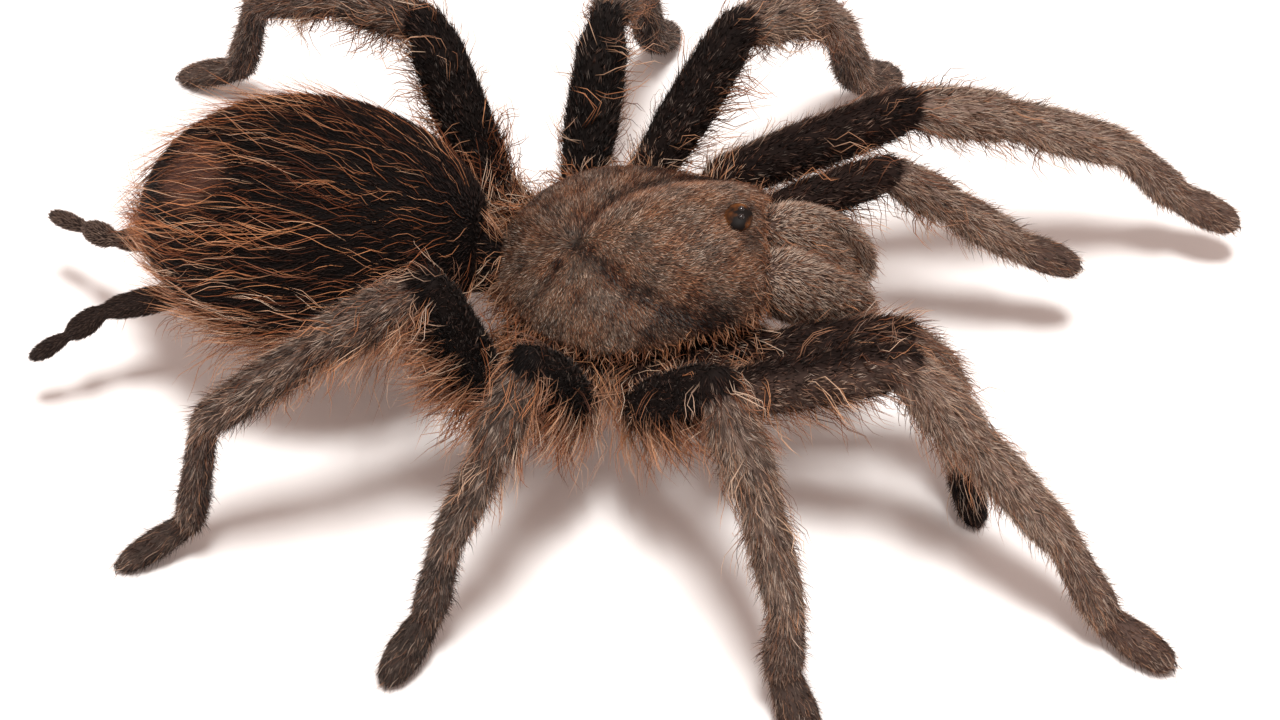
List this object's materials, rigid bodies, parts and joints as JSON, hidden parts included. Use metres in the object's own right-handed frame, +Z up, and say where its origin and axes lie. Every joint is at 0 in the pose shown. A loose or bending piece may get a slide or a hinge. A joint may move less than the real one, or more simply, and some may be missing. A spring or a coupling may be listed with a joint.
{
  "type": "aphonopelma madera tarantula model",
  "caption": "Still life-size model of a hairy tarantula standing with legs spread, long hind spinnerets, and one front leg and one palp raised.",
  "frame": {"origin": "centre of the overall box, on the floor that the feet stand on", "axes": "+X is the way the head looks, +Y is the animal's left, +Z is up"},
  "size_m": [0.0756, 0.0548, 0.0242],
  "materials": {
    "shield": "short silky hair, grey-brown with a golden sheen",
    "gloss_black": "glossy black",
    "abdomen_coat": "black velvet under long rusty hair",
    "velvet": "short grey-brown velvet",
    "underside_coat": "dark skin with rusty orange hair",
    "leg_coat": "dark grey-brown short coat with tan bristles"
  },
  "bodies": {
    "root": {"abdomen": "abdomen_coat", "carapace": "shield", "coxae_and_sternum": "underside_coat", "eyes": "gloss_black", "left_chelicera": "velvet", "left_fang": "gloss_black", "left_leg1_femur": "leg_coat", "left_leg1_foot": "leg_coat", "left_leg1_patella": "leg_coat", "left_leg1_tibia": "leg_coat", "left_leg2_femur": "leg_coat", "left_leg2_foot": "leg_coat", "left_leg2_patella": "leg_coat", "left_leg2_tibia": "leg_coat", "left_leg3_femur": "leg_coat", "left_leg3_foot": "leg_coat", "left_leg3_patella": "leg_coat", "left_leg3_tibia": "leg_coat", "left_leg4_femur": "leg_coat", "left_leg4_foot": "leg_coat", "left_leg4_patella": "leg_coat", "left_leg4_tibia": "leg_coat", "left_palp_femur": "leg_coat", "left_palp_patella_tibia": "leg_coat", "left_palp_tarsus": "leg_coat", "left_spinneret": "leg_coat", "pedicel": "underside_coat", "right_chelicera": "velvet", "right_fang": "gloss_black", "right_leg1_femur": "leg_coat", "right_leg1_foot": "leg_coat", "right_leg1_patella": "leg_coat", "right_leg1_tibia": "leg_coat", "right_leg2_femur": "leg_coat", "right_leg2_foot": "leg_coat", "right_leg2_patella": "leg_coat", "right_leg2_tibia": "leg_coat", "right_leg3_femur": "leg_coat", "right_leg3_foot": "leg_coat", "right_leg3_patella": "leg_coat", "right_leg3_tibia": "leg_coat", "right_leg4_femur": "leg_coat", "right_leg4_foot": "leg_coat", "right_leg4_patella": "leg_coat", "right_leg4_tibia": "leg_coat", "right_palp_femur": "leg_coat", "right_palp_patella_tibia": "leg_coat", "right_palp_tarsus": "leg_coat", "right_spinneret": "leg_coat"}
  },
  "joints": []
}
